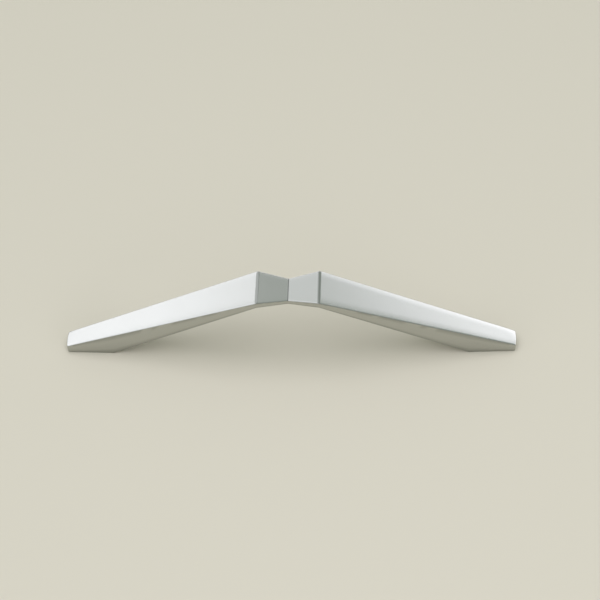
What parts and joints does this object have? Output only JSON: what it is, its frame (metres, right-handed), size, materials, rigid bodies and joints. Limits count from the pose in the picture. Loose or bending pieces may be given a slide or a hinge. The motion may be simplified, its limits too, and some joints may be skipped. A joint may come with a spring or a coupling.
{
  "type": "furniture bow handle",
  "caption": "Slim faceted bow handle for drawers and cabinet doors, cast in one piece, with a waisted middle and tapped feet.",
  "frame": {"origin": "midway between the two screw holes, on the plane of the feet, where the handle meets its panel", "axes": "+X along the handle from foot to foot, +Y across it, +Z away from the panel"},
  "size_m": [0.182, 0.0184, 0.033],
  "materials": {
    "plated_metal": "satin chrome plating, fine matt grain, softly polished edges"
  },
  "bodies": {
    "root": {"handle": "plated_metal"}
  },
  "joints": []
}
